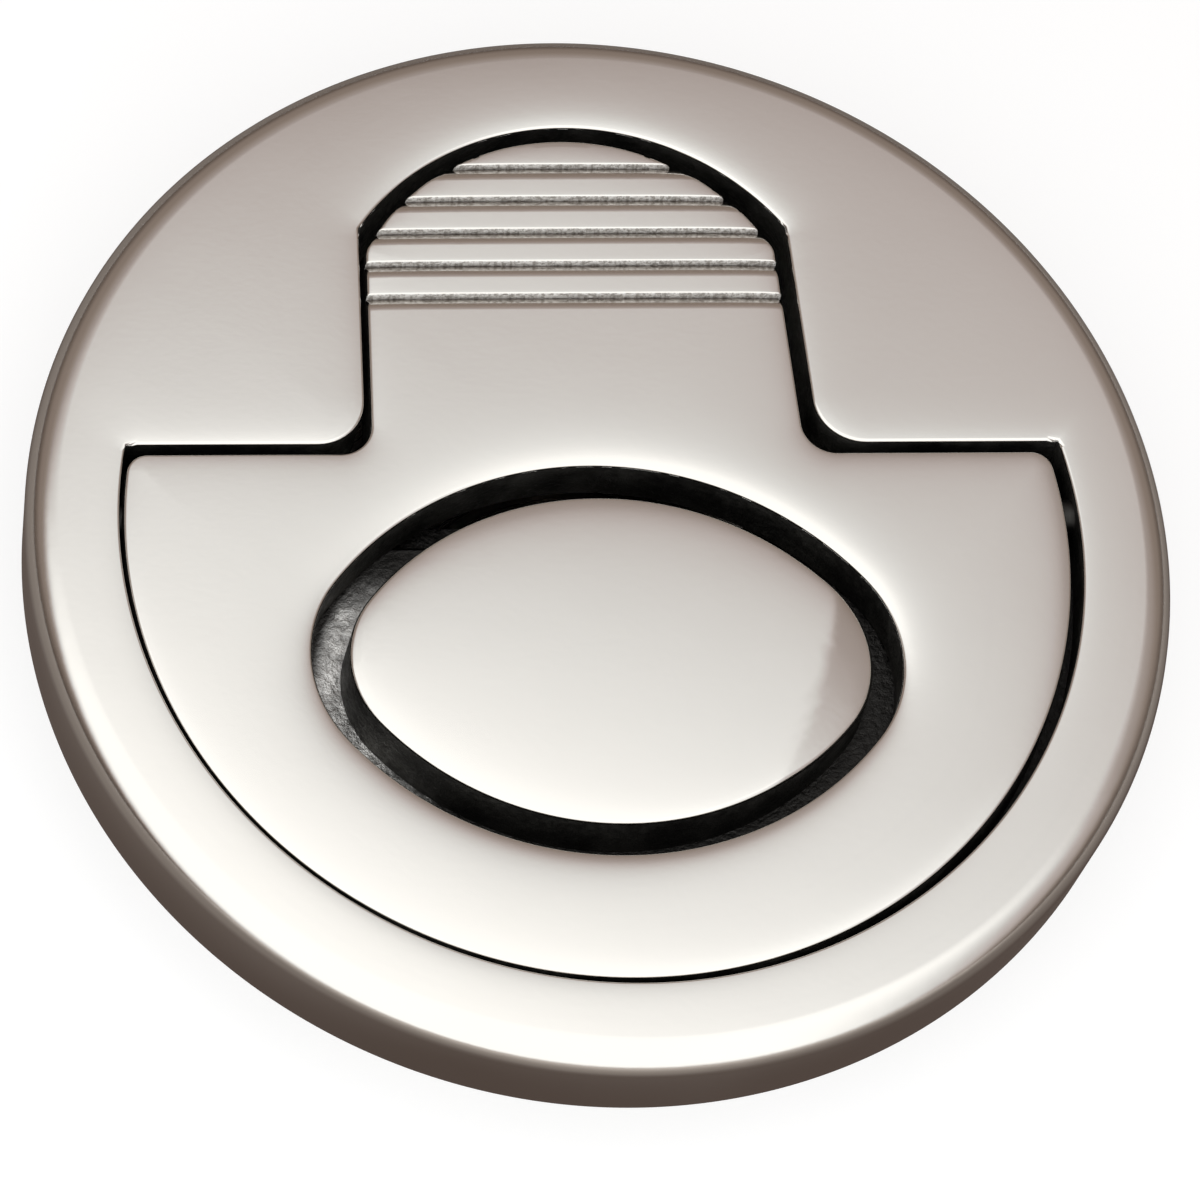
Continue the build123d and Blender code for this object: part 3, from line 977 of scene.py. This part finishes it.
one_pin = pins.rod(
    pins.place(pins.times(pin_half, -1.0), 0.0, 0.0),
    pins.place(pin_half, 0.0, 0.0),
    pins.given["Steps"],
    40,
    pin_thickness,
)
left_place = pins.place(pins.times(pin_out, -1.0), pins.given["Across"], pins.given["Height"])
to_right = pins.place(pins.times(pin_out, 2.0), 0.0, 0.0)
both_ends = pins.shape(
    "MeshLine", {"Count": 2, "Start Location": left_place, "Offset": to_right}
)
pin_pair = pins.shape("InstanceOnPoints", {"Points": both_ends, "Instance": one_pin})
pivot_pins = pins.piece(pin_pair, ground_steel())
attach(pivot_pins, "base")
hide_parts("pivot_pin_left", "pivot_pin_right")

# ---- Return spring
# Wound from round spring wire, with a closed turn at each end. It stands round the cup's peg and
# lifts the tab, so that the ring lies flush.
def spring_wire():
    """Hard drawn wire, blued a little by its stress relief, with fine drawing lines."""
    made = Finish("spring_wire")
    fine = made.noise(4200, 2)
    colour = made.mottled(made.noise(350, 2), (0.20, 0.19, 0.19), (0.34, 0.30, 0.26))
    return made.finished(colour, made.rough(fine, 0.26, 0.42), (fine, 3e-6))


spring_low, spring_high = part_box("return_spring")
wire_radius = 0.22 * MM
spring = Recipe(
    "return_spring_body",
    {
        "Wire Radius": wire_radius,
        "Coil Radius": (spring_high.x - spring_low.x) / 2 - wire_radius,
        "Turns": 7.5,
        "Closed Turns": 1.0,
        "Foot": cup_floor_z * MM + wire_radius,
        "Top": seat_z * MM - wire_radius,
        "Across": seat_y * MM,
        "Points": 420,
    },
)
turns, closed = spring.given["Turns"], spring.given["Closed Turns"]
foot, coil_radius = spring.given["Foot"], spring.given["Coil Radius"]
index = spring.put("GeometryNodeInputIndex")[0]
turn = spring.times(spring.over(index, spring.minus(spring.given["Points"], 1.0)), turns)
# The closed turns all but touch, and the open ones share the height that is left.
both_closed = spring.times(closed, 2.0)
open_turns = spring.minus(turns, both_closed)
wire_across = spring.times(spring.given["Wire Radius"], 2.04)
height = spring.minus(spring.given["Top"], foot)
free_height = spring.minus(height, spring.times(both_closed, wire_across))
in_open = spring.least(spring.most(spring.minus(turn, closed), 0.0), open_turns)
closed_rise = spring.times(spring.minus(turn, in_open), wire_across)
open_rise = spring.times(spring.over(in_open, open_turns), free_height)
angle = spring.times(turn, 2 * pi)
forward = spring.times(spring.math("SINE", angle), coil_radius)
coil_place = spring.place(
    spring.times(spring.math("COSINE", angle), coil_radius),
    spring.plus(forward, spring.given["Across"]),
    spring.plus(spring.plus(closed_rise, open_rise), foot),
)
coil = spring.shape("MeshLine", {"Count": spring.given["Points"]})
coil = spring.shape("SetPosition", {"Geometry": coil, "Position": coil_place})
coil = spring.shape("MeshToCurve", {"Mesh": coil})
wound = spring.swept(coil, 16, spring.given["Wire Radius"])
return_spring = spring.piece(wound, spring_wire(), 50)
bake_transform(return_spring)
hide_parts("return_spring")

# ---- Rear cup
# A brass cup turned from bar and dull plated, with a peg for the spring in its floor, three
# countersunk holes for its own screws and two clear holes for the screws through the panel.
cup_radius, cup_inner_radius, cup_back_z, cup_edge = 26.3, 25.0, -6.8, 0.5
post_hole, post_sink, fixing_hole = 1.4, 2.5, 2.25
peg_radius, peg_height, peg_round = 1.3, 1.5, 0.25


def lathe_marks():
    """Plating over lathe marks: fine rings round the cup's axis, a little stained."""
    made = Finish("turned_cup")
    inputs = {"W": made.from_axis(), "Scale": 5200, "Detail": 3.0}
    rings = made.put("ShaderNodeTexNoise", inputs, noise_dimensions="1D")["Fac"]
    sides = made.noise(1, 2, 0.6, made.scaled(60, 60, 9000))
    colour = made.mottled(made.noise(110, 3), (0.55, 0.52, 0.47), (0.66, 0.63, 0.59))
    return made.finished(colour, made.rough(rings, 0.24, 0.36), (rings, 5e-6), (sides, 3e-6))


def rounded(outline):
    """A turned outline, where each corner with a third number is rounded off by that much."""
    made = []
    for i, (r, z, *bend) in enumerate(outline):
        if not bend:
            made.append((r, z))
            continue
        here = Vector((r, z))
        before, after = (Vector(outline[k][:2]) - here for k in (i - 1, i + 1))
        one, two = before.normalized() * bend[0], after.normalized() * bend[0]
        made += [
            tuple(here + one * (1 - t) ** 2 + two * t**2) for t in (0, 0.2, 0.4, 0.6, 0.8, 1)
        ]
    return made


cup_outside = rounded(
    [
        (cup_inner_radius, cup_floor_z),
        (cup_inner_radius, 0, 0.15),
        (cup_radius, 0, 0.15),
        (cup_radius, cup_back_z + cup_edge, 0.25),
        (cup_radius - cup_edge, cup_back_z, 0.25),
        (cup_radius - cup_edge - 0.8, cup_back_z),
    ]
)
peg = (0, seat_y)
peg_outline = rounded(
    [
        (peg_radius, cup_floor_z),
        (peg_radius, cup_floor_z + peg_height, peg_round),
        (0, cup_floor_z + peg_height),
    ]
)
sunk_hole = [
    (post_sink, cup_back_z),
    (post_hole, cup_back_z + post_sink - post_hole),
    (post_hole, cup_floor_z),
]
fixing_wall = [(fixing_hole, cup_back_z), (fixing_hole, cup_floor_z)]


def holes(radius):
    """The holes through the cup's floor, where those for its own screws have this radius."""
    own = [circle(p, radius)[::-1] for p in posts]
    return own + [circle(p, fixing_hole)[::-1] for p in bosses]


cup_back = [circle((0, 0), cup_outside[-1][0], 240)] + holes(post_sink)
cup_inside = [circle((0, 0), cup_inner_radius, 240), circle(peg, peg_radius)[::-1]]
cup_inside += holes(post_hole)
rear_cup = assembled(
    "rear_cup_body",
    [lathe_marks()],
    [
        (0, turned(cup_outside, 240)),
        (0, filled(cup_back, cup_back_z)),
        (0, filled(cup_inside, cup_floor_z)),
        (0, moved(turned(peg_outline, 48), peg)),
        *[(0, moved(turned(sunk_hole, 48), p)) for p in posts],
        *[(0, moved(turned(fixing_wall, 48), p)) for p in bosses],
    ],
    30,
)
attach(rear_cup, "base")
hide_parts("rear_cup")

# ---- Cup screws
# Three countersunk steel screws with a slot, zinc plated, through the cup's floor into the
# plate's posts.
def zinc_plate():
    """Bright zinc on steel, dulled in patches."""
    made = Finish("zinc_plate")
    dull = made.noise(900, 3)
    colour = made.mottled(dull, (0.56, 0.56, 0.55), (0.70, 0.70, 0.68))
    return made.finished(colour, made.rough(dull, 0.24, 0.4), (made.noise(3800, 2), 4e-6))


screws = Recipe(
    "cup_screws",
    {
        "Length": 6.0 * MM,
        "Radius": 1.25 * MM,
        "Head Radius": 2.35 * MM,
        "Thread Pitch": 0.45 * MM,
        "Thread Depth": 0.22 * MM,
        "Slot Length": 2.9 * MM,
        "Slot Width": 0.7 * MM,
        "Slot Depth": 0.6 * MM,
        "Circle": post_circle * MM,
        "Back": cup_back_z * MM,
        "Screws": 3,
        "Seed": 5,
    },
)


def screw_thickness(along):
    """The head's cone with a broken edge, then the thread's crests, then the point."""
    radius, head_radius = screws.given["Radius"], screws.given["Head Radius"]
    cone = screws.minus(head_radius, along)
    edge = screws.plus(screws.times(along, 2.0), screws.times(head_radius, 0.965))
    half_pitch = screws.over(screws.given["Thread Pitch"], 2.0)
    ripple = screws.over(screws.math("PINGPONG", along, half_pitch), half_pitch)
    threaded = screws.minus(radius, screws.times(ripple, screws.given["Thread Depth"]))
    tip = screws.plus(screws.minus(screws.given["Length"], along), screws.times(radius, 0.7))
    return screws.least(screws.most(screws.least(cone, edge), threaded), tip)


solid_screw = screws.rod(
    (0.0, 0.0, 0.0), screws.place(0.0, 0.0, screws.given["Length"]), 121, 48, screw_thickness
)
slot_size = screws.place(
    screws.given["Slot Length"],
    screws.given["Slot Width"],
    screws.times(screws.given["Slot Depth"], 2.0),
)
slot_cutter = screws.shape("MeshCube", {"Size": slot_size})
slotted = screws.shape(
    "MeshBoolean", {"Mesh 1": solid_screw, "Mesh 2": slot_cutter}, operation="DIFFERENCE"
)
screw_circle = screws.shape(
    "MeshCircle", {"Vertices": screws.given["Screws"], "Radius": screws.given["Circle"]}
)
screw_places = screws.shape(
    "Transform",
    {
        "Geometry": screw_circle,
        "Translation": screws.place(0.0, 0.0, screws.given["Back"]),
        "Rotation": (0.0, 0.0, -pi / 2),
    },
)
driven_turn = screws.put(
    "FunctionNodeRandomValue", {2: 0.0, 3: pi, "Seed": screws.given["Seed"]}, data_type="FLOAT"
)[1]
driven_turn = screws.place(0.0, 0.0, driven_turn)
driven = screws.shape(
    "InstanceOnPoints", {"Points": screw_places, "Instance": slotted, "Rotation": driven_turn}
)
cup_screws = screws.piece(driven, zinc_plate(), 30)
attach(cup_screws, "base")
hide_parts("cup_screw_1", "cup_screw_2", "cup_screw_3")

# ---- Studio
# A pale floor under a small light tent, whose wall is bright above and in front, and falls off to a
# warm grey behind the tab and to dark at its foot. A brown card glows round the plate, and is seen
# in
# reflections only: a painted reflection of a warm table, with painted shade beside the plate.
tent_radius = 0.12
tent_strength = 1.5
card_radii, card_height = (26, 40, 60, 90, 119.6), 0.3
floor_glow = 0.74
floor_half = 3


def sheet(name, points, faces, material):
    """A sheet in the studio, from points in metres."""
    mesh = bpy.data.meshes.new(name)
    mesh.from_pydata(points, [], faces)
    mesh.materials.append(material)
    return placed(name, mesh)


def tent_light():
    """The light of the tent's wall: a level first, and then the colour for that level."""
    made = Finish("tent_light", 0.0)
    x, y, z = [made.over(part, tent_radius) for part in made.axes()]
    # It is brightest in front, and falls off backwards and to the right.
    side = made.least(x, 0.5)
    light = made.minus(made.minus(1.93, side), made.times(y, 2.0))
    # Its left side is in shade.
    past_left = made.most(made.minus(-0.05, x), 0.0)
    light = made.minus(light, made.times(past_left, 1.5))
    # Far behind, its left is a little darker than its right, and nearer it is the other way round.
    skew = made.times(made.minus(side, 0.17), made.minus(y, 0.42))
    skew = made.least(made.most(made.times(skew, 5.0), -0.15), 0.15)
    light = made.least(made.plus(light, skew), tent_strength)
    # Its right side is in shade too, but no part of it goes dark.
    light = made.most(made.minus(light, made.smooth(x, 0.42, 0.95, 0.0, 1.0)), 0.42)
    # Behind the tab and beside the plate the tent's wall starts high up; in front it starts low.
    foot_start = made.plus(0.2, made.times(y, 0.55))
    foot_start = made.least(made.most(foot_start, -0.3), 0.42)
    foot = made.smooth(made.over(made.minus(z, foot_start), 0.3), 0.0, 1.0, 0.0, 1.0)
    table = made.smooth(z, -0.05, 0.3, 0.10, 0.29)
    bright = made.plus(table, made.times(foot, made.minus(light, table)))
    ramp = made.put("ShaderNodeValToRGB", {"Fac": made.over(bright, tent_strength)})["Color"]
    stops = [
        (0.0, (0.012, 0.013, 0.016)),
        (0.10, (0.10, 0.077, 0.065)),
        (0.20, (0.203, 0.165, 0.143)),
        (0.40, (0.405, 0.365, 0.358)),
        (0.633, (0.637, 0.65, 0.655)),
        (1.0, (0.985, 1.0, 1.0)),
    ]
    colours = ramp.node.color_ramp.elements
    for position, _ in stops[1:-1]:
        colours.new(position)
    for element, (position, colour) in zip(colours, stops):
        element.position, element.color = position, (*colour, 1)
    return made.glowing(ramp, tent_strength)


def card_light():
    """Painted reflection of a warm table: painted shade beside the plate, lighter at the sides and
    in front.
    """
    made = Finish("brown_card", 0.0)
    x, y, _ = made.axes()
    near_shade = made.spread(made.from_axis(), 0.0325, 0.0450, -0.04, 0.20)
    left_light = made.spread(x, -0.080, -0.012, 0.25, 0.0)
    right_light = made.spread(x, 0.040, 0.080, 0.0, 0.30)
    front_light = made.spread(y, -0.085, -0.040, 0.9, 0.0)
    light = made.plus(made.plus(near_shade, made.plus(left_light, right_light)), front_light)
    return made.glowing(made.between(light, (0.10, 0.076, 0.066), (0.62, 0.57, 0.53)))


def floor_material():
    """Pale and matt, and lit evenly where it is seen or mirrored."""
    made = Finish("pale_floor", 0.0)
    made.shader.inputs["Base Color"].default_value = (0.36, 0.36, 0.36, 1)
    made.shader.inputs["Roughness"].default_value = 0.9
    made.shader.inputs["Specular IOR Level"].default_value = 0.0
    path = made.put("ShaderNodeLightPath")
    seen = made.most(path["Is Camera Ray"], path["Is Glossy Ray"])
    seen = made.most(seen, path["Is Transmission Ray"])
    made.shader.inputs["Emission Color"].default_value = (1, 1, 1, 1)
    made.shade("Emission Strength", made.times(seen, floor_glow))
    return made.material


tent_reach = 1000 * tent_radius
tent_arch = [(tent_reach * cos(a), tent_reach * sin(a)) for a in np.linspace(-0.05, pi / 2, 13)]
points, faces = turned(tent_arch, 32)
points = (points * MM).tolist()
tent = sheet("light_tent", points, faces, tent_light())
tent.visible_camera = tent.visible_shadow = False

points, faces = turned([(r, cad_low.z / MM + card_height) for r in card_radii], 64)
points = (points * MM).tolist()
card = sheet("table_card", points, faces, card_light())
card.visible_camera = card.visible_shadow = False
card.visible_diffuse = card.visible_transmission = False

corners = [(-1, -1), (1, -1), (1, 1), (-1, 1)]
points = [(x * floor_half, y * floor_half, cad_low.z) for x, y in corners]
floor = sheet("floor", points, [(0, 1, 2, 3)], floor_material())

world = bpy.data.worlds.new("world")
bpy.context.scene.world = world
world.use_nodes = True
world.node_tree.nodes["Background"].inputs["Color"].default_value = (1, 1, 1, 1)
world.node_tree.nodes["Background"].inputs["Strength"].default_value = 1.0

bpy.context.scene.view_settings.view_transform = "Standard"

# ---- Camera
view_direction = Vector((-0.1723, -0.4477, 0.8774)).normalized()
camera_roll = radians(18.35)
aim = Vector((-0.43 * MM, -3.27 * MM, face_z * MM))
camera_distance = 2.4
camera_data = bpy.data.cameras.new("camera")
camera_data.lens = 1370
camera_data.sensor_width = 36
camera = placed("camera", camera_data)
camera.rotation_mode = "QUATERNION"
look = view_direction.to_track_quat("Z", "Y")
camera.rotation_quaternion = look @ Quaternion((0, 0, 1), camera_roll)
camera.location = aim + view_direction * camera_distance
camera_data.clip_start = 0.01
camera_data.clip_end = 10
bpy.context.scene.camera = camera
